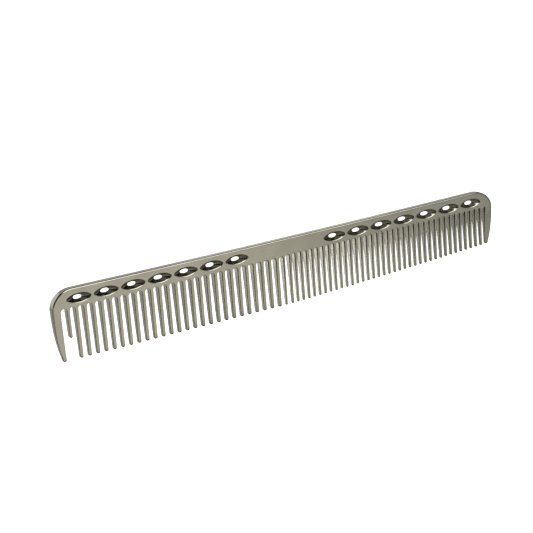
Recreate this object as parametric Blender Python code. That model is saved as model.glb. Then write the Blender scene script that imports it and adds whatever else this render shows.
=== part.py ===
"""Steel grooming comb: a flat bar with a spine, eye-shaped holes, coarse teeth and fine teeth.

The real comb is one piece of steel. Here its named regions are separate solids, parted by
a hairline gap just under the spine: the spine, two guard teeth, one short sectioning tooth,
each coarse tooth, and the fine teeth in pairs.

Frame: +X runs from the coarse end to the fine end, +Z from the tooth tips to the spine, and
the front face looks along -Y. The origin is the centre of the comb's box. Places along Z are
worked out as a depth below the top of the spine. Units are metres.
"""

import math

import bmesh
import bpy

# Driving dimensions of the whole comb
LENGTH = 0.180
HEIGHT = 0.0253
SPINE_THICKNESS = 0.0034
BACK_HOLLOW = 0.00045  # the back dips this much between its two ends
EDGE_BEVEL = 0.0008
FINE_END_RISE = 0.0040  # how much shorter the teeth are at the fine end
TIP_LINE_POWER = 1.2  # above 1, the line of the fine tips curves up a little

# The two top corners are quarter ellipses: (along X, along Z)
COARSE_END_CORNER = (0.0079, 0.0069)
FINE_END_CORNER = (0.0079, 0.0068)

# Both faces of a tooth ease in from the spine's thickness to its tip's
COARSE_TIP_THICKNESS = 0.0016
COARSE_TAPER_POWER = 1.05
FINE_TIP_THICKNESS = 0.0013
FINE_TAPER_POWER = 1.6
TIP_EDGE_THICKNESS = 0.0001  # the tips are rounded off across their thickness too

# The hairline where the spine and the teeth are parted
PARTING_DEPTH = 0.0057
PARTING_GAP = 0.0002

# Round-waisted holes, countersunk from both faces into an eye shape
HOLE_PITCH = 0.010
HOLES_PER_GROUP = 7
HOLE_END_MARGIN = 0.010  # from each end of the comb to the nearest hole's centre
HOLE_DEPTH = 0.0037
HOLE_LENGTH = 0.0087
HOLE_HEIGHT = 0.0032
WAIST_LENGTH = 0.0030
WAIST_HEIGHT = 0.0014
HOLE_TIP_SHARPNESS = 1.6
HOLE_ARC_STEPS = 6

# Gaps between the teeth: straight slots with a round root
COARSE_GAPS = 28
COARSE_PITCH = 0.00309
COARSE_ROOT_DEPTH = 0.00655
COARSE_GAP_AT_ROOT = 0.00180
COARSE_GAP_AT_TIP = 0.00184
FIRST_GAP = 0.0042  # from the coarse end to the first gap's centre
FIRST_GAP_AT_ROOT = 0.0021
FINE_GAPS = 38
FINE_PITCH = 0.002315
FINE_ROOT_DEPTH = 0.0063
FINE_GAP_AT_ROOT = 0.00128
FINE_GAP_AT_TIP = 0.00142
FINE_TEETH_PER_NODE = 2

# The two guard teeth and the short sectioning tooth
GUARD_BEND_DEPTH = 0.0074
GUARD_BEND_POWER = 2.4
COARSE_GUARD_SWEEP = 0.0021  # how far its outer edge comes in at the tip
FINE_GUARD_SWEEP = 0.0022
COARSE_GUARD_LEAN = 0.0002  # how far its inner edge leans over the gap at the tip
FINE_GUARD_LEAN = 0.0001
GUARD_TIP_RADIUS = 0.00055
SECTIONING_TOOTH_LENGTH = 0.0108

# How finely the curved stretches are cut
ROOT_STEPS = 3
BODY_STEPS = 3
TIP_STEPS = 3
CORNER_STEPS = 8
BACK_STEPS = 12

STEEL_COLOUR = (0.36, 0.34, 0.30, 1.0)
STEEL_ROUGHNESS = 0.28


def clear_scene():
    for old in list(bpy.data.objects):
        bpy.data.objects.remove(old, do_unlink=True)


def steel():
    made = bpy.data.materials.new("steel")
    made.use_nodes = True
    shader = made.node_tree.nodes["Principled BSDF"]
    shader.inputs["Base Color"].default_value = STEEL_COLOUR
    shader.inputs["Roughness"].default_value = STEEL_ROUGHNESS
    shader.inputs["Metallic"].default_value = 1.0
    return made


def link(name, bm, material=None):
    """Closes bm into a named object with its faces pointing out."""
    bmesh.ops.recalc_face_normals(bm, faces=bm.faces[:])
    mesh = bpy.data.meshes.new(name)
    bm.to_mesh(mesh)
    bm.free()
    made = bpy.data.objects.new(name, mesh)
    bpy.context.scene.collection.objects.link(made)
    if material:
        mesh.materials.append(material)
    return made


def height_at(depth):
    return HEIGHT / 2 - depth


def thickness_at(x, depth):
    """The spine's full thickness down to the roots, then a taper that eases towards the tips."""
    fine = x > gap_centre(COARSE_GAPS)
    tip, power = COARSE_TIP_THICKNESS, COARSE_TAPER_POWER
    if fine:
        tip, power = FINE_TIP_THICKNESS, FINE_TAPER_POWER
    along = max(0.0, (depth - FINE_ROOT_DEPTH) / (tip_depth_at(x) - FINE_ROOT_DEPTH))
    return tip + (SPINE_THICKNESS - tip) * (1 - min(1.0, along)) ** power


def tip_depth_at(x):
    """Coarse tips lie on a level line; from the middle on, the teeth shorten towards the end."""
    fine_start = gap_centre(COARSE_GAPS)
    along = max(0.0, (x - fine_start) / (LENGTH / 2 - fine_start))
    return HEIGHT - FINE_END_RISE * along**TIP_LINE_POWER


def gap_centre(index):
    """X of a gap's centre, counting every gap from the coarse end."""
    x = -LENGTH / 2 + FIRST_GAP + COARSE_PITCH * min(index, COARSE_GAPS - 1)
    if index >= COARSE_GAPS:
        x += (COARSE_PITCH + FINE_PITCH) / 2 + FINE_PITCH * (index - COARSE_GAPS)
    return x


def gap_sizes(index):
    """(root depth, half width at the root, half width at the tips) of a gap."""
    if index >= COARSE_GAPS:
        return FINE_ROOT_DEPTH, FINE_GAP_AT_ROOT / 2, FINE_GAP_AT_TIP / 2
    at_root = FIRST_GAP_AT_ROOT if index == 0 else COARSE_GAP_AT_ROOT
    return COARSE_ROOT_DEPTH, at_root / 2, COARSE_GAP_AT_TIP / 2


def gap_half_width(index, depth, floor=0.0):
    """Half the gap's width at a depth: a half circle at the root, then slowly widening."""
    root, at_root, at_tip = gap_sizes(index)
    below = depth - root
    if below < at_root:
        return max(floor, math.sqrt(max(0.0, at_root**2 - (at_root - max(below, 0.0)) ** 2)))
    along = (below - at_root) / (HEIGHT - root - at_root)
    return max(floor, at_root + (at_tip - at_root) * along)


def outer_edge(depth, tip, sweep, at_fine_end):
    """How far the comb's end lies inside its full length: round corner, straight, then swept in."""
    across, down = FINE_END_CORNER if at_fine_end else COARSE_END_CORNER
    if depth < down:
        return across * (1 - math.sqrt(1 - (1 - depth / down) ** 2))
    along = max(0.0, (depth - GUARD_BEND_DEPTH) / (tip - GUARD_BEND_DEPTH))
    return sweep * along**GUARD_BEND_POWER


def level_depths(root, arc, tip, tip_radius):
    """Depths at which a tooth is cut: along its round root, down its body, round its tip."""
    depths = [root + arc * (1 - math.cos(math.pi / 2 * k / ROOT_STEPS)) for k in range(ROOT_STEPS + 1)]
    start, end = depths[-1], tip - tip_radius
    depths += [start + (end - start) * k / BODY_STEPS for k in range(1, BODY_STEPS + 1)]
    return depths


def rounded_tip(levels, tip, radius):
    """Adds the levels that round a tooth's tip off, across its width and its thickness."""
    depth, left, right, thickness = levels[-1]
    middle, half = (left + right) / 2, (right - left) / 2
    for k in range(1, TIP_STEPS + 1):
        angle = math.pi / 2 * k / TIP_STEPS
        width = half - radius * 0.9 * (1 - math.cos(angle))
        edge = TIP_EDGE_THICKNESS + (thickness - TIP_EDGE_THICKNESS) * math.cos(angle) ** 0.8
        levels.append((tip - radius + radius * math.sin(angle), middle - width, middle + width, edge))
    return levels


def inner_tooth(index, tip, outer_left, outer_right):
    """Levels (depth, left x, right x, thickness) of the tooth between gaps index and index + 1."""
    root = max(gap_sizes(index)[0], gap_sizes(index + 1)[0])
    arc = min(gap_sizes(index)[1], gap_sizes(index + 1)[1])
    radius = (gap_centre(index + 1) - gap_centre(index)) / 2
    radius -= (gap_half_width(index, tip) + gap_half_width(index + 1, tip)) / 2
    left_floor = PARTING_GAP / 2 if outer_left else 0.0
    right_floor = PARTING_GAP / 2 if outer_right else 0.0
    levels = [
        (
            depth,
            gap_centre(index) + gap_half_width(index, depth, left_floor),
            gap_centre(index + 1) - gap_half_width(index + 1, depth, right_floor),
            thickness_at((gap_centre(index) + gap_centre(index + 1)) / 2, depth),
        )
        for depth in level_depths(root, arc, tip, radius)
    ]
    return rounded_tip(levels, tip, radius * 0.95)


def guard_tooth(index, sweep, lean, at_fine_end):
    """Levels of a guard tooth, which has the comb's end on one side and a gap on the other."""
    side = 1 if at_fine_end else -1
    tip = tip_depth_at(side * LENGTH / 2)
    root, arc, _ = gap_sizes(index)
    levels = []
    for depth in level_depths(root, arc, tip, GUARD_TIP_RADIUS):
        outer = side * (LENGTH / 2 - outer_edge(depth, tip, sweep, at_fine_end))
        inner = gap_centre(index) + side * min(arc, gap_half_width(index, depth, PARTING_GAP / 2))
        inner -= side * lean * max(0.0, (depth - GUARD_BEND_DEPTH) / (tip - GUARD_BEND_DEPTH)) ** 2
        thickness = thickness_at(side * LENGTH / 2, depth)
        levels.append((depth, min(outer, inner), max(outer, inner), thickness))
    return rounded_tip(levels, tip, GUARD_TIP_RADIUS)


def toothed_block(name, teeth, material):
    """One solid: a root block under the spine with one or more teeth cut from it."""
    bm = bmesh.new()
    known = {}

    def corner(x, depth, thickness, face):
        key = (round(x, 8), round(depth, 8), face)
        if key not in known:
            known[key] = bm.verts.new((x, face * thickness / 2, height_at(depth)))
        return known[key]

    def wall(a, b):
        bm.faces.new([corner(*a, -1), corner(*b, -1), corner(*b, 1), corner(*a, 1)])

    def left_point(level):
        return level[1], level[0], level[3]

    def right_point(level):
        return level[2], level[0], level[3]

    for levels in teeth:
        for upper, lower in zip(levels, levels[1:]):
            outline = [left_point(upper), right_point(upper), right_point(lower), left_point(lower)]
            for face in (-1, 1):
                bm.faces.new([corner(*point, face) for point in outline])
            wall(left_point(upper), left_point(lower))
            wall(right_point(upper), right_point(lower))
        wall(left_point(levels[-1]), right_point(levels[-1]))

    top = PARTING_DEPTH + PARTING_GAP
    first, last = teeth[0][0], teeth[-1][0]
    left = (block_edge(first[1], top), top, SPINE_THICKNESS)
    right = (block_edge(last[2], top), top, SPINE_THICKNESS)
    points = [left, right, right_point(last)] + [left_point(levels[0]) for levels in reversed(teeth)]
    for face in (-1, 1):
        bm.faces.new([corner(*point, face) for point in points])
    wall(left, right)
    wall(left, left_point(first))
    wall(right, right_point(last))
    return link(name, bm, material)


def block_edge(x, depth):
    """The root block's edge at a depth: it follows the round corner at the comb's ends."""
    return math.copysign(min(abs(x), LENGTH / 2 - outer_edge(depth, HEIGHT, 0.0, x > 0)), x)


def eye(length, height, point):
    """Points round an eye shape, from its left tip. It is an ellipse at point 1, and sharper above that."""
    points = []
    for k in range(4 * HOLE_ARC_STEPS):
        angle = math.pi - math.pi / 2 * k / HOLE_ARC_STEPS
        rise = math.copysign(abs(math.sin(angle)) ** point, math.sin(angle))
        points.append((length / 2 * math.cos(angle), height / 2 * rise))
    return points


def hole_cutter(name, x):
    """A double countersink: an eye shape at both faces, an ellipse at the waist in the middle."""
    reach = 1.3  # the cutter's ends stand outside the faces
    waist = eye(WAIST_LENGTH, WAIST_HEIGHT, 1.0)
    rim = eye(HOLE_LENGTH, HOLE_HEIGHT, HOLE_TIP_SHARPNESS)
    wide = [(wx + (rx - wx) * reach, wz + (rz - wz) * reach) for (wx, wz), (rx, rz) in zip(waist, rim)]
    rings = [(-SPINE_THICKNESS / 2 * reach, wide), (0.0, waist), (SPINE_THICKNESS / 2 * reach, wide)]
    bm = bmesh.new()
    middle = height_at(HOLE_DEPTH)
    loops = [[bm.verts.new((x + px, y, middle + pz)) for px, pz in points] for y, points in rings]
    for near, far in zip(loops, loops[1:]):
        for k in range(len(near)):
            after = (k + 1) % len(near)
            bm.faces.new([near[k], near[after], far[after], far[k]])
    bm.faces.new(loops[0])
    bm.faces.new(loops[-1])
    cutter = link(name, bm)
    cutter.hide_render = True
    cutter.display_type = "WIRE"
    return cutter


def hole_centres():
    inset = LENGTH / 2 - HOLE_END_MARGIN
    return [side * (inset - HOLE_PITCH * k) for side in (-1, 1) for k in range(HOLES_PER_GROUP)]


def back_line():
    """Points along the slightly hollow back, between the two round corners: (x, depth)."""
    start, end = -LENGTH / 2 + COARSE_END_CORNER[0], LENGTH / 2 - FINE_END_CORNER[0]
    points = []
    for k in range(1, BACK_STEPS):
        along = k / BACK_STEPS
        points.append((start + (end - start) * along, BACK_HOLLOW * (1 - (2 * along - 1) ** 2)))
    return points


def spine(material):
    """The back of the comb, with round ends, eased outer edges and two rows of eye-shaped holes."""
    turns = [math.pi / 2 * k / CORNER_STEPS for k in range(CORNER_STEPS + 1)]
    depths = [PARTING_DEPTH * (1 - math.cos(turn)) for turn in turns]
    outline = [(-LENGTH / 2 + outer_edge(depth, HEIGHT, 0.0, False), depth) for depth in reversed(depths)]
    outline += back_line()
    outline += [(LENGTH / 2 - outer_edge(depth, HEIGHT, 0.0, True), depth) for depth in depths]
    bm = bmesh.new()
    front = [bm.verts.new((x, -SPINE_THICKNESS / 2, height_at(depth))) for x, depth in outline]
    face = bm.faces.new(front)
    solid = bmesh.ops.extrude_face_region(bm, geom=[face])
    for vertex in (v for v in solid["geom"] if isinstance(v, bmesh.types.BMVert)):
        vertex.co.y = SPINE_THICKNESS / 2
    foot = height_at(PARTING_DEPTH) + EDGE_BEVEL / 10
    rims = [e for e in bm.edges if abs(e.verts[0].co.y - e.verts[1].co.y) < EDGE_BEVEL]
    rims = [e for e in rims if max(v.co.z for v in e.verts) > foot]
    bmesh.ops.recalc_face_normals(bm, faces=bm.faces[:])
    bmesh.ops.bevel(bm, geom=rims, offset=EDGE_BEVEL, segments=2, profile=0.5, affect="EDGES")
    made = link("spine", bm, material)
    for k, x in enumerate(hole_centres()):
        cut = made.modifiers.new(f"eye_{k + 1:02d}", "BOOLEAN")
        cut.object = hole_cutter(f"cutter_eye_{k + 1:02d}", x)
        cut.operation = "DIFFERENCE"
        cut.solver = "EXACT"
    return made


def coarse_teeth(material):
    for number in range(1, COARSE_GAPS):
        middle = (gap_centre(number) + gap_centre(number + 1)) / 2
        levels = inner_tooth(number, tip_depth_at(middle), True, True)
        toothed_block(f"coarse_tooth_{number:02d}", [levels], material)


def fine_teeth(material):
    """Fine teeth stand in pairs on a shared root block; an odd one left over stands alone."""
    last = COARSE_GAPS + FINE_GAPS - 1
    starts = range(COARSE_GAPS, last, FINE_TEETH_PER_NODE)
    for number, start in enumerate(starts, 1):
        group = range(start, min(start + FINE_TEETH_PER_NODE, last))
        teeth = []
        for index in group:
            middle = (gap_centre(index) + gap_centre(index + 1)) / 2
            teeth.append(inner_tooth(index, tip_depth_at(middle), index == group[0], index == group[-1]))
        toothed_block(f"fine_teeth_{number:02d}", teeth, material)


def build():
    clear_scene()
    material = steel()
    spine(material)
    guard = guard_tooth(0, COARSE_GUARD_SWEEP, COARSE_GUARD_LEAN, False)
    toothed_block("guard_tooth_coarse_end", [guard], material)
    short = inner_tooth(0, COARSE_ROOT_DEPTH + SECTIONING_TOOTH_LENGTH, True, True)
    toothed_block("sectioning_tooth", [short], material)
    coarse_teeth(material)
    fine_teeth(material)
    guard = guard_tooth(COARSE_GAPS + FINE_GAPS - 1, FINE_GUARD_SWEEP, FINE_GUARD_LEAN, True)
    toothed_block("guard_tooth_fine_end", [guard], material)


build()
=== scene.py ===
"""Steel grooming comb: the finished look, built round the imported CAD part.

The comb is one seamless piece of steel, so one closed mesh stands for all the CAD nodes. It is
laid out from the CAD nodes' boxes. Lengths are millimetres until a vertex is made. A depth is
measured down from the top of the spine, and x from the coarse end of the comb.
"""

import math

import bmesh
import bpy
from mathutils import Matrix, Vector
from mathutils.geometry import delaunay_2d_cdt


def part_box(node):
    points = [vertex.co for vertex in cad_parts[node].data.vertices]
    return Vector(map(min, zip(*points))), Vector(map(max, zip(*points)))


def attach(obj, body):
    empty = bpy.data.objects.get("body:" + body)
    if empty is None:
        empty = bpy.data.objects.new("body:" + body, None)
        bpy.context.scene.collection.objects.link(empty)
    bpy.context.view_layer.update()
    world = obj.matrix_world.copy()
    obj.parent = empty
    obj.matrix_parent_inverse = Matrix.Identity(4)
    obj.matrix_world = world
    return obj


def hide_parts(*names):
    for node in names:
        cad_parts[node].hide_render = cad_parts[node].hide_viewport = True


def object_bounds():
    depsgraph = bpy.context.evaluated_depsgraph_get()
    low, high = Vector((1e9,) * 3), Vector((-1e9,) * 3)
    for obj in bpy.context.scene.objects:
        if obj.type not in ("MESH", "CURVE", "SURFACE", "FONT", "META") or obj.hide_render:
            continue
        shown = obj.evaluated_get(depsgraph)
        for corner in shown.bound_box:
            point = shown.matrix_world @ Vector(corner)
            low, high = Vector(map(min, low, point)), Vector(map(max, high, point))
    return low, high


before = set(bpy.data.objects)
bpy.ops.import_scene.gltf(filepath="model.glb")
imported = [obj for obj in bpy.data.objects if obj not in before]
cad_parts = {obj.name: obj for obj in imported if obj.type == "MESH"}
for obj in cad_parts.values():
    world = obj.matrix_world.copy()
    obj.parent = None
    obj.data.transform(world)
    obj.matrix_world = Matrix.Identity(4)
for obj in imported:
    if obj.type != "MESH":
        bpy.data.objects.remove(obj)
cad_low, cad_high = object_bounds()

MM = 0.001

# ---- Layout, from the CAD part's boxes ----

LENGTH = (cad_high[0] - cad_low[0]) / MM
HEIGHT = (cad_high[2] - cad_low[2]) / MM
THICKNESS = (cad_high[1] - cad_low[1]) / MM
HALF = THICKNESS / 2
COARSE_TEETH = sorted(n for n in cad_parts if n.startswith("coarse_tooth"))
FINE_PAIRS = sorted(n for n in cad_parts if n.startswith("fine_teeth"))


def from_coarse_end(x):
    return (x - cad_low[0]) / MM


def span(node):
    """The left and right ends of a node, and the depth of its lowest point."""
    low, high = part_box(node)
    return from_coarse_end(low[0]), from_coarse_end(high[0]), (cad_high[2] - low[2]) / MM


def tooth_row():
    """Gap centres between neighbouring teeth, and every tooth's tip depth, from the coarse end."""
    spans = [span(n) for n in ["guard_tooth_coarse_end", "sectioning_tooth", *COARSE_TEETH]]
    for pair, node in enumerate(FINE_PAIRS):
        left, right, tip = span(node)
        if node == FINE_PAIRS[-1]:
            spans.append((left, right, tip))
        else:
            middle, next_tip = (left + right) / 2, span(FINE_PAIRS[pair + 1])[2]
            spans += [(left, middle, tip), (middle, right, (tip + next_tip) / 2)]
    spans.append(span("guard_tooth_fine_end"))
    centres = [(a[1] + b[0]) / 2 for a, b in zip(spans, spans[1:])]
    return centres, [s[2] for s in spans]


GAP_CENTRES, TIP_DEPTHS = tooth_row()
LAST_GAP = len(GAP_CENTRES) - 1
LAST_TOOTH = LAST_GAP + 1
COARSE_GAPS = len(COARSE_TEETH) + 1
SHORT_TOOTH = 1

# ---- Shape ----

BACK_HOLLOW = 0.45  # the back dips this much between its two ends
COARSE_ROOT, FINE_ROOT = 6.55, 6.3  # depth of the top of a gap
COARSE_GAP_WIDTH = (1.80, 1.82)  # at the root, at the tips
FIRST_GAP_WIDTH = (2.15, 2.25)
FINE_GAP_WIDTH = (1.28, 1.42)
WALL_TILT = 0.03  # how far the shading normal of a tooth's wall leans down

TAPER_START, TAPER_EASE = 6.3, 1.5  # depth where the teeth start to thin, length of the easing
COARSE_TAPER = (1.6, 1.05)  # thickness at the tip, power
FINE_TAPER = (1.3, 1.6)
FINE_END_TAPER = 0.7  # added to the power at the fine end, where the teeth thin sooner
TIP_THINNING, THINNING_LENGTH = 0.22, 0.8  # taken off each face over the end of a tooth
TIP_ROUND = 0.55  # length of the rounded end of a tooth

COARSE_END_CORNER = (7.9, 6.9)  # along x, along the depth
FINE_END_CORNER = (7.9, 6.8)
GUARD_BEND, GUARD_POWER = 7.4, 2.4  # depth where a guard tooth starts to sweep inward, power
COARSE_SWEEP, FINE_SWEEP = 2.15, 2.25
COARSE_LEAN, FINE_LEAN = 0.25, 0.1  # how far a guard tooth's inner wall leans over its gap

SPINE_ROUND = (0.8, 0.8)  # how far an edge is eased: in the outline, in y
TOOTH_ROUND = (0.2, 0.77)
END_ROUND_START = 6.0  # from this depth the comb's ends go from the spine's easing to a tooth's

HOLE_PITCH, HOLE_MARGIN, HOLES_PER_GROUP = 10.0, 10.0, 7
HOLE_DEPTH = 3.7
HOLE_RIM = (8.7, 3.0, 1.4)  # length, height, how pointed
HOLE_WAIST = (3.0, 1.36, 1.0)
HOLE_LEVELS = (0.07, 0.16, 0.4, 0.7, 0.93)  # rings on the wall: 0 is the rim and 1 the waist
EDGE_LEVEL = 0.1  # where the wall's direction at the rim is taken
RIM_EASE = ((0.28, 0), (0.21, 38), (0.03, 52))  # width outside the rim, tilt of the surface there
RIM_DROP = 0.15  # how steeply the eased rim falls towards the hole
WAIST_EASE = 0.02  # how much the edge of the waist is cut back

ROOT_STEPS, BODY_STEPS, TIP_STEPS = 6, 5, 6
ROUND_STEPS, CORNER_STEPS, CROWN_STEPS = 5, 20, 60
HOLE_POINTS = 64
SLOPE_STEP = 0.02
MERGE_DISTANCE = 1e-7


def slope_at(curve, where):
    """How fast a curve changes."""
    return (curve(where + SLOPE_STEP) - curve(where - SLOPE_STEP)) / (2 * SLOPE_STEP)


def is_fine(tooth):
    return tooth > COARSE_GAPS


def thickness_profile(tooth, depth):
    """Half the thickness of a tooth at a depth, and how fast it changes with depth."""
    tip, power = FINE_TAPER if is_fine(tooth) else COARSE_TAPER
    if is_fine(tooth):
        power += FINE_END_TAPER * ((tooth - COARSE_GAPS) / (LAST_TOOTH - COARSE_GAPS)) ** 3
    # the short tooth thins like its neighbour, and ends sooner
    end = TIP_DEPTHS[SHORT_TOOTH + 1] if tooth == SHORT_TOOTH else TIP_DEPTHS[tooth]

    def half(d):
        run = max(0.0, d - TAPER_START)
        run = run * run / (2 * TAPER_EASE) if run < TAPER_EASE else run - TAPER_EASE / 2
        along = min(1.0, run / (end - TAPER_START - TAPER_EASE / 2))
        value = (tip + (THICKNESS - tip) * (1 - along) ** power) / 2
        last = max(0.0, d - (TIP_DEPTHS[tooth] - THINNING_LENGTH)) / THINNING_LENGTH
        return value - TIP_THINNING * last * last

    return half(depth), slope_at(half, depth)


def root_depth(gap):
    return FINE_ROOT if gap >= COARSE_GAPS else COARSE_ROOT


def gap_half(gap, depth):
    """Half a gap's width below its round root."""
    if gap == 0:
        widths = FIRST_GAP_WIDTH
    else:
        widths = FINE_GAP_WIDTH if gap > COARSE_GAPS else COARSE_GAP_WIDTH
    along = min(1.0, max(0.0, (depth - root_depth(gap)) / (HEIGHT - root_depth(gap))))
    return (widths[0] + (widths[1] - widths[0]) * along) / 2


def guard_lean(tooth, depth):
    """How far a guard tooth's inner wall has come over its gap at a depth; 0 for other teeth."""
    lean = {0: COARSE_LEAN, LAST_TOOTH: FINE_LEAN}.get(tooth, 0.0)
    return lean * max(0.0, (depth - GUARD_BEND) / (TIP_DEPTHS[tooth] - GUARD_BEND)) ** 2


def outer_inset(depth, tip, at_fine_end):
    """How far the comb's end lies inside its full length at a depth."""
    across, down = FINE_END_CORNER if at_fine_end else COARSE_END_CORNER
    if depth < down:
        return across * (1 - math.sqrt(max(0.0, 1 - (1 - depth / down) ** 2)))
    sweep = FINE_SWEEP if at_fine_end else COARSE_SWEEP
    along = max(0.0, (depth - GUARD_BEND) / (tip - GUARD_BEND))
    return sweep * along**GUARD_POWER


# ---- Outline ----


class Station:
    """A point of the comb's outline, with its outward normal and how its two edges are eased."""

    def __init__(self, x, depth, normal, ease, tooth):
        self.x, self.depth, self.ease, self.tooth = x, depth, ease, tooth
        size = math.hypot(*normal)
        self.nx, self.nd = normal[0] / size, normal[1] / size
        self.column = None


gap_tops = [
    Station(GAP_CENTRES[g], root_depth(g), (0, 1), TOOTH_ROUND, g) for g in range(LAST_GAP + 1)
]


def wall_levels(tooth, gap, side):
    """Stations down one side of a gap, from its top to the start of the tooth's rounded end.

    side is +1 for the gap's right wall and -1 for its left wall."""
    centre, root = GAP_CENTRES[gap], root_depth(gap)
    radius = gap_half(gap, root)
    stations = [gap_tops[gap]]
    for k in range(1, ROOT_STEPS + 1):
        angle = math.pi / 2 * k / ROOT_STEPS
        x = centre + side * radius * math.sin(angle)
        depth = root + radius * (1 - math.cos(angle))
        normal = (-side * math.sin(angle), math.cos(angle))
        stations.append(Station(x, depth, normal, TOOTH_ROUND, tooth))
    start, end = root + radius, TIP_DEPTHS[tooth] - TIP_ROUND
    for k in range(1, BODY_STEPS + 1):
        depth = start + (end - start) * k / BODY_STEPS
        x = centre + side * (gap_half(gap, depth) - guard_lean(tooth, depth))
        stations.append(Station(x, depth, (-side, WALL_TILT), TOOTH_ROUND, tooth))
    return stations


def end_levels(tooth, at_fine_end, depths):
    """Stations down the comb's outer end, one at each depth."""
    stations = []
    tip = TIP_DEPTHS[tooth]
    for depth in depths:
        inset = outer_inset(depth, tip, at_fine_end)
        slope = slope_at(lambda d: outer_inset(d, tip, at_fine_end), depth)
        x = LENGTH - inset if at_fine_end else inset
        side = 1 if at_fine_end else -1
        below = min(1.0, max(0.0, (depth - END_ROUND_START) / (tip - END_ROUND_START)))
        ease = [a + (b - a) * below for a, b in zip(SPINE_ROUND, TOOTH_ROUND)]
        stations.append(Station(x, depth, (side, slope), ease, tooth))
    return stations


def tooth_sides(tooth):
    """Stations down the left and the right side of a tooth, level with each other."""
    if tooth == 0:
        rights = wall_levels(tooth, 0, -1)
        return end_levels(tooth, False, [s.depth for s in rights]), rights
    lefts = wall_levels(tooth, tooth - 1, 1)
    if tooth == LAST_TOOTH:
        return lefts, end_levels(tooth, True, [s.depth for s in lefts])
    return lefts, wall_levels(tooth, tooth, -1)


def tip_levels(tooth, left, right):
    """Rounds a tooth off from its last two stations: stations on both sides, then the tip."""
    low = TIP_DEPTHS[tooth]
    middle, half = (left.x + right.x) / 2, (right.x - left.x) / 2
    drop = low - left.depth
    lefts, rights = [], []
    for k in range(1, TIP_STEPS):
        angle = math.pi / 2 * k / TIP_STEPS
        depth = left.depth + drop * math.sin(angle)
        for side, found in ((-1, lefts), (1, rights)):
            x = middle + side * half * math.cos(angle)
            normal = (side * math.cos(angle) * drop, math.sin(angle) * half)
            found.append(Station(x, depth, normal, TOOTH_ROUND, tooth))
    return lefts, rights, Station(middle, low, (0, 1), TOOTH_ROUND, tooth)


def corner_stations(at_fine_end):
    """Stations round a top corner of the spine, from the comb's end to its top."""
    across, down = FINE_END_CORNER if at_fine_end else COARSE_END_CORNER
    lowest = root_depth(LAST_GAP if at_fine_end else 0)
    start = math.acos(1 - min(1.0, lowest / down))
    stations = []
    for k in range(1, CORNER_STEPS + 1):
        angle = start * (1 - k / CORNER_STEPS)
        inset = across * (1 - math.sin(angle))
        depth = down * (1 - math.cos(angle))
        x = LENGTH - inset if at_fine_end else inset
        side = 1 if at_fine_end else -1
        normal = (side * math.sin(angle) / across, -math.cos(angle) / down)
        stations.append(Station(x, depth, normal, SPINE_ROUND, 0))
    return stations


def back_stations():
    """Stations along the hollow back, between the two corners."""
    left, right = COARSE_END_CORNER[0], LENGTH - FINE_END_CORNER[0]
    stations = []
    for k in range(1, CROWN_STEPS):
        along = 2 * k / CROWN_STEPS - 1
        x = (left + right + (right - left) * along) / 2
        slope = -4 * BACK_HOLLOW * along / (right - left)
        depth = BACK_HOLLOW * (1 - along**2)
        stations.append(Station(x, depth, (slope, -1), SPINE_ROUND, 0))
    return stations


# ---- Mesh ----

bm = bmesh.new()
normals = []


def vertex(x, y, depth, normal):
    """A vertex in the row frame from millimetres, with the normal it is shaded with."""
    made = bm.verts.new((cad_low[0] + x * MM, y * MM, cad_high[2] - depth * MM))
    normals.append(Vector(normal).normalized())
    return made


def column(station):
    """The vertices across the thickness at a station: front face, round, wall, round, back face."""
    if station.column:
        return station.column
    front, back = [], []
    for k in range(ROUND_STEPS + 1):
        angle = math.pi / 2 * (1 - k / ROUND_STEPS)
        inward = station.ease[0] * (1 - math.cos(angle))
        x, depth = station.x - station.nx * inward, station.depth - station.nd * inward
        half, slope = thickness_profile(station.tooth, depth)
        ease_y = station.ease[1] * half / HALF
        y = half - ease_y * (1 - math.sin(angle))
        face = Vector((0, -1, slope)).normalized() * math.sin(angle)
        edge = Vector((station.nx, 0, -station.nd)) * math.cos(angle)
        n = face * station.ease[0] + edge * ease_y
        front.append(vertex(x, -y, depth, n))
        back.append(vertex(x, y, depth, (n.x, -n.y, n.z)))
    station.column = front + back[::-1]
    return station.column


def band(a, b):
    """Closes the edge of the comb between two neighbouring stations."""
    for k in range(len(column(a)) - 1):
        bm.faces.new([column(a)[k], column(b)[k], column(b)[k + 1], column(a)[k + 1]])


def faces_across(left_a, right_a, left_b, right_b):
    """Front and back face of a tooth between two levels. The two sides meet in the tip."""
    for end in (0, -1):
        corners = [column(s)[end] for s in (left_a, right_a, right_b, left_b)]
        bm.faces.new(list(dict.fromkeys(corners)))


def build_tooth(tooth, lefts, rights):
    """One tooth from its two sides: they have the same number of levels."""
    tip_left, tip_right, tip = tip_levels(tooth, lefts[-1], rights[-1])
    lefts, rights = [*lefts, *tip_left, tip], [*rights, *tip_right, tip]
    for k in range(len(lefts) - 1):
        band(lefts[k], lefts[k + 1])
        band(rights[k], rights[k + 1])
        faces_across(lefts[k], rights[k], lefts[k + 1], rights[k + 1])


teeth = [tooth_sides(tooth) for tooth in range(LAST_TOOTH + 1)]
for tooth, (lefts, rights) in enumerate(teeth):
    build_tooth(tooth, lefts, rights)

coarse_end_top, fine_end_top = teeth[0][0][0], teeth[LAST_TOOTH][1][0]
crown = [coarse_end_top, *corner_stations(False), *back_stations()]
crown += [*reversed(corner_stations(True)), fine_end_top]
for a, b in zip(crown, crown[1:]):
    band(a, b)


def hole_wall(t, s):
    """A point of the countersunk wall at angle t: s is 0 at the face's rim and 1 at the waist."""
    length, height, pointed = (a + (b - a) * s for a, b in zip(HOLE_RIM, HOLE_WAIST))
    rise = math.copysign(abs(math.sin(t)) ** pointed, math.sin(t))
    return Vector((length / 2 * math.cos(t), -HALF * (1 - s), height / 2 * rise))


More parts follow.
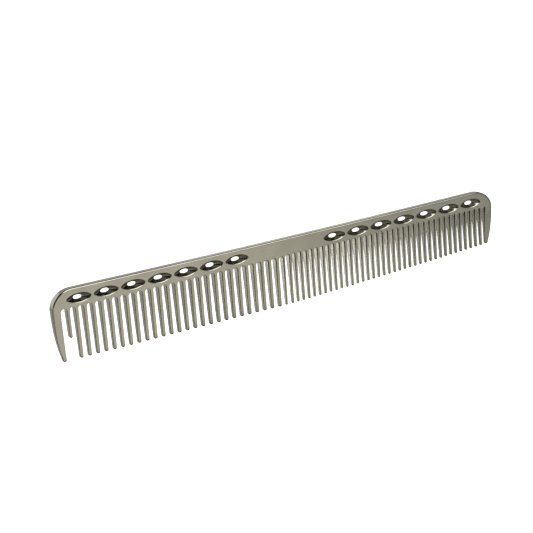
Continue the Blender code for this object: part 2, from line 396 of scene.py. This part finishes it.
def hole_normal(t, s):
    along = hole_wall(t + SLOPE_STEP, s) - hole_wall(t - SLOPE_STEP, s)
    down = hole_wall(t, min(1, s + SLOPE_STEP)) - hole_wall(t, max(0, s - SLOPE_STEP))
    n = along.cross(down).normalized()
    return -n if n.dot(Vector((math.cos(t), 0, math.sin(t)))) > 0 else n


def hole_profile(t):
    """Points and normals from outside the front rim down to the waist, at angle t."""
    edge, rim = hole_normal(t, EDGE_LEVEL), hole_wall(t, 0.0)
    inward = Vector((edge.x, 0, edge.z)).normalized()
    profile = []
    for width, tilt in RIM_EASE:
        tilt = math.radians(tilt)
        drop = (RIM_EASE[0][0] - width) * RIM_DROP
        point = rim - inward * width + Vector((0, drop, 0))
        profile.append((point, Vector((0, -math.cos(tilt), 0)) + inward * math.sin(tilt)))
    profile += [(hole_wall(t, s), hole_normal(t, s)) for s in HOLE_LEVELS]
    waist_normal = Vector((-math.cos(t) / HOLE_WAIST[0], 0, -math.sin(t) / HOLE_WAIST[1]))
    profile.append((hole_wall(t, 1.0) - waist_normal.normalized() * WAIST_EASE, waist_normal))
    return profile


def build_hole(centre):
    """Rings from the front face's rim through the waist to the back face's. Gives both rims."""
    profiles = [hole_profile(2 * math.pi * (k + 0.5) / HOLE_POINTS) for k in range(HOLE_POINTS)]
    waist = len(profiles[0]) - 1
    levels = [(k, 1) for k in range(waist + 1)] + [(k, -1) for k in reversed(range(waist))]
    rings = []
    for k, side in levels:
        rings.append([])
        for profile in profiles:
            point, n = profile[k]
            place = centre + point.x, side * point.y, HOLE_DEPTH - point.z
            rings[-1].append(vertex(*place, (n.x, side * n.y, n.z)))
    for upper, lower in zip(rings, rings[1:]):
        for k in range(HOLE_POINTS):
            nxt = (k + 1) % HOLE_POINTS
            bm.faces.new([upper[k], upper[nxt], lower[nxt], lower[k]])
    return rings[0], rings[-1]


hole_centres = [HOLE_MARGIN + HOLE_PITCH * k for k in range(HOLES_PER_GROUP)]
hole_centres += [LENGTH - x for x in reversed(hole_centres)]
rims = [build_hole(x) for x in hole_centres]


def inside(point, loop):
    """Whether a point is inside a closed loop of points."""
    found = False
    for a, b in zip(loop, loop[1:] + loop[:1]):
        if (a.y > point.y) != (b.y > point.y):
            if point.x < a.x + (point.y - a.y) / (b.y - a.y) * (b.x - a.x):
                found = not found
    return found


def fill_spine_face(end):
    """Triangulates the flat face of the spine round its holes. end is 0 in front and -1 behind."""
    outline = [column(s)[end] for s in [*crown, *reversed(gap_tops)]]
    verts, edges, loops = [], [], []
    for loop in [outline] + [rim[end] for rim in rims]:
        start = len(verts)
        verts += loop
        edges += [(start + k, start + (k + 1) % len(loop)) for k in range(len(loop))]
        loops.append([Vector((v.co.x / MM, v.co.z / MM)) for v in loop])
    points, _, faces, origins, _, _ = delaunay_2d_cdt(
        [point for loop in loops for point in loop], edges, [], 0, MERGE_DISTANCE
    )
    border, *holes = loops
    for corners in faces:
        middle = sum((points[i] for i in corners), Vector((0, 0))) / len(corners)
        if inside(middle, border) and not any(inside(middle, hole) for hole in holes):
            bm.faces.new([verts[origins[i][0]] for i in corners])


fill_spine_face(0)
fill_spine_face(-1)
bmesh.ops.recalc_face_normals(bm, faces=bm.faces[:])

mesh = bpy.data.meshes.new("comb")
bm.to_mesh(mesh)
bm.free()
for polygon in mesh.polygons:
    polygon.use_smooth = True
mesh.normals_split_custom_set_from_vertices(normals)
comb = bpy.data.objects.new("comb", mesh)
bpy.context.scene.collection.objects.link(comb)


# ---- Steel ----

STEEL_SHADES = ((0.312, 0.300, 0.244, 1), (0.352, 0.337, 0.276, 1))
ROUGHNESS = (0.12, 0.18)
NOISE_RANGE = (0.3, 0.7)  # the part of a noise that is used
POLISHING_SCALE = (60.0, 900.0, 1600.0)  # per metre: long in x, so the lines run along the comb
CLOUD_SCALE = 140.0


def node(tree, kind, x, y):
    made = tree.nodes.new(kind)
    made.location = (x, y)
    return made


def make_steel():
    made = bpy.data.materials.new("steel")
    made.use_nodes = True
    tree = made.node_tree
    shader = tree.nodes["Principled BSDF"]
    shader.inputs["Metallic"].default_value = 1.0
    shader.inputs["Specular IOR Level"].default_value = 0.5
    place = node(tree, "ShaderNodeTexCoord", -1200, 0)

    # fine polishing lines along the comb
    stretch = node(tree, "ShaderNodeMapping", -1000, 200)
    stretch.inputs["Scale"].default_value = POLISHING_SCALE
    lines = node(tree, "ShaderNodeTexNoise", -800, 200)
    lines.inputs["Scale"].default_value = 1.0
    lines.inputs["Detail"].default_value = 4.0
    tree.links.new(place.outputs["Object"], stretch.inputs["Vector"])
    tree.links.new(stretch.outputs["Vector"], lines.inputs["Vector"])
    gloss = node(tree, "ShaderNodeMapRange", -500, -200)
    gloss.inputs["From Min"].default_value, gloss.inputs["From Max"].default_value = NOISE_RANGE
    gloss.inputs["To Min"].default_value, gloss.inputs["To Max"].default_value = ROUGHNESS
    tree.links.new(lines.outputs["Fac"], gloss.inputs["Value"])
    tree.links.new(gloss.outputs["Result"], shader.inputs["Roughness"])

    # soft clouds left by tumbling
    clouds = node(tree, "ShaderNodeTexNoise", -800, -100)
    clouds.inputs["Scale"].default_value = CLOUD_SCALE
    clouds.inputs["Detail"].default_value = 3.0
    tree.links.new(place.outputs["Object"], clouds.inputs["Vector"])
    colour = node(tree, "ShaderNodeValToRGB", -500, 100)
    for stop, position, shade in zip(colour.color_ramp.elements, NOISE_RANGE, STEEL_SHADES):
        stop.position, stop.color = position, shade
    tree.links.new(clouds.outputs["Fac"], colour.inputs["Fac"])
    tree.links.new(colour.outputs["Color"], shader.inputs["Base Color"])
    return made


steel = make_steel()
mesh.materials.append(steel)
for cad_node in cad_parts.values():
    for material_slot in cad_node.material_slots:
        material_slot.material = steel
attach(comb, "root")
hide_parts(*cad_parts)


# ---- Floor, light and camera ----

FLOOR_REACH, FLOOR_DROP = 4.0, 0.20  # metres: half its width, how far below the comb

# Each panel of light round the comb, in degrees: azimuth of its middle (0 is behind the comb, 90
# past its fine end, 180 in front) and half its width, elevation and half its height, how softly
# its edge fades. Then its radiance and its colour.
WARM, CLEAR = (1.0, 0.99, 0.96), (1.0, 1.0, 0.97)
PANELS = (
    # past the coarse end, from behind the comb round to the front: the walls and rounds there
    (-54, 44, 26, 22, 10, 1.3, WARM),
    (-28.8, 1.2, -16, 16, 1.5, 2.5, WARM),
    (-30, 12, -20, 20, 6, 0.34, WARM),
    (-76, 24, -20, 16, 8, 0.42, WARM),
    (-150, 32, -20, 16, 10, 0.65, WARM),
    # behind: the walls again, then the top of the spine
    (-6, 14, -18, 18, 6, 0.62, WARM),
    (28, 3, 12, 8, 3, 0.98, CLEAR),
    (14, 26, 14, 11, 8, 0.67, CLEAR),
    # in front: the faces
    (170.2, 17.9, 5, 48, 2, 1.10, (1.0, 0.98, 0.94)),
    (160, 10, -10, 20, 3, 0.80, CLEAR),
    (155, 10, -15, 20, 14, 0.74, (0.97, 1.0, 0.97)),
    # in front and overhead: the upper edges and the lower walls of the holes
    (130, 30, 35, 26, 12, 0.55, CLEAR),
    (145, 55, 73, 14, 7, 4.0, (1.0, 1.0, 1.0)),
    # behind, past the fine end: the back face
    (68, 29, -20, 16, 3, 0.5, WARM),
)
AMBIENT = 0.015
BACKGROUND = 1.1

CAMERA_PLACE = (-0.26117, -0.49399, 0.17187)
CAMERA_YAW, CAMERA_PITCH, CAMERA_ROLL = 27.155, 16.89, -5.27
CAMERA_LENS = 110.04


def make_floor():
    size, z = FLOOR_REACH, cad_low[2] - FLOOR_DROP
    floor_mesh = bpy.data.meshes.new("floor")
    floor_mesh.from_pydata(
        [(-size, -size, z), (size, -size, z), (size, size, z), (-size, size, z)], [], [(0, 1, 2, 3)]
    )
    floor = bpy.data.objects.new("floor", floor_mesh)
    bpy.context.scene.collection.objects.link(floor)
    made = bpy.data.materials.new("floor")
    made.use_nodes = True
    shader = made.node_tree.nodes["Principled BSDF"]
    shader.inputs["Base Color"].default_value = (0.9, 0.9, 0.9, 1)
    shader.inputs["Roughness"].default_value = 0.9
    shader.inputs["Emission Color"].default_value = (1, 1, 1, 1)
    shader.inputs["Emission Strength"].default_value = 0.8
    floor_mesh.materials.append(made)
    floor.visible_glossy = False
    floor.visible_diffuse = False


def calculate(tree, kind, operation, *inputs):
    """The result of a node that does sums. Each input is a value or another node's output."""
    made = tree.nodes.new(kind)
    made.operation = operation
    for socket, value in zip(made.inputs, inputs):
        if isinstance(value, bpy.types.NodeSocket):
            tree.links.new(value, socket)
        else:
            socket.default_value = value
    return made.outputs[0]


def window(tree, angle, half, soft):
    """1 inside +-half, falling smoothly to 0 over soft more. All in degrees."""
    made = tree.nodes.new("ShaderNodeMapRange")
    made.interpolation_type = "SMOOTHSTEP"
    away = calculate(tree, "ShaderNodeMath", "ABSOLUTE", angle)
    tree.links.new(away, made.inputs["Value"])
    made.inputs["From Min"].default_value = math.radians(half + soft)
    made.inputs["From Max"].default_value = math.radians(half)
    return made.outputs["Result"]


def panel_light(tree, direction, azimuth, width, elevation, height, soft, strength, colour):
    """The light of one panel in a direction."""
    turned = tree.nodes.new("ShaderNodeVectorRotate")
    turned.rotation_type = "Z_AXIS"
    turned.inputs["Angle"].default_value = math.radians(azimuth)
    tree.links.new(direction, turned.inputs["Vector"])
    parts = tree.nodes.new("ShaderNodeSeparateXYZ")
    tree.links.new(turned.outputs["Vector"], parts.inputs["Vector"])
    across = calculate(tree, "ShaderNodeMath", "ARCTAN2", parts.outputs["X"], parts.outputs["Y"])
    rise = calculate(tree, "ShaderNodeMath", "ARCSINE", parts.outputs["Z"])
    rise = calculate(tree, "ShaderNodeMath", "SUBTRACT", rise, math.radians(elevation))
    windows = window(tree, across, width, soft), window(tree, rise, height, soft)
    glow = tree.nodes.new("ShaderNodeVectorMath")
    glow.operation = "SCALE"
    glow.inputs[0].default_value = tuple(strength * c for c in colour)
    fade = calculate(tree, "ShaderNodeMath", "MULTIPLY", *windows)
    tree.links.new(fade, glow.inputs["Scale"])
    return glow.outputs[0]


def make_world():
    """White to the camera. What the steel reflects is dark, with large soft panels of light."""
    world = bpy.data.worlds.new("studio")
    bpy.context.scene.world = world
    world.use_nodes = True
    tree = world.node_tree
    tree.nodes.clear()
    direction = tree.nodes.new("ShaderNodeTexCoord").outputs["Generated"]
    total = panel_light(tree, direction, *PANELS[0])
    for panel in PANELS[1:]:
        light = panel_light(tree, direction, *panel)
        total = calculate(tree, "ShaderNodeVectorMath", "MAXIMUM", total, light)
    total = calculate(tree, "ShaderNodeVectorMath", "ADD", total, (AMBIENT,) * 3)
    reflected = tree.nodes.new("ShaderNodeBackground")
    tree.links.new(total, reflected.inputs["Color"])
    white = tree.nodes.new("ShaderNodeBackground")
    white.inputs["Strength"].default_value = BACKGROUND
    white.inputs["Color"].default_value = (1, 1, 1, 1)
    rays = tree.nodes.new("ShaderNodeLightPath")
    mix = tree.nodes.new("ShaderNodeMixShader")
    tree.links.new(rays.outputs["Is Camera Ray"], mix.inputs["Fac"])
    tree.links.new(reflected.outputs[0], mix.inputs[1])
    tree.links.new(white.outputs[0], mix.inputs[2])
    out = tree.nodes.new("ShaderNodeOutputWorld")
    tree.links.new(mix.outputs[0], out.inputs["Surface"])


def make_camera():
    yaw, pitch, roll = (math.radians(a) for a in (CAMERA_YAW, CAMERA_PITCH, CAMERA_ROLL))
    level = Vector((math.sin(yaw), math.cos(yaw), 0))
    forward = level * math.cos(pitch) - Vector((0, 0, math.sin(pitch)))
    right = Vector((math.cos(yaw), -math.sin(yaw), 0))
    up = right.cross(forward)
    right, up = (
        right * math.cos(roll) + up * math.sin(roll),
        up * math.cos(roll) - right * math.sin(roll),
    )
    camera = bpy.data.cameras.new("camera")
    camera.lens, camera.sensor_width = CAMERA_LENS, 36.0
    camera.clip_start = 0.01
    made = bpy.data.objects.new("camera", camera)
    bpy.context.scene.collection.objects.link(made)
    axes = Matrix((right, up, -forward)).transposed().to_4x4()
    made.matrix_world = Matrix.Translation(CAMERA_PLACE) @ axes
    bpy.context.scene.camera = made


make_floor()
make_world()
make_camera()
bpy.context.scene.view_settings.view_transform = "Standard"
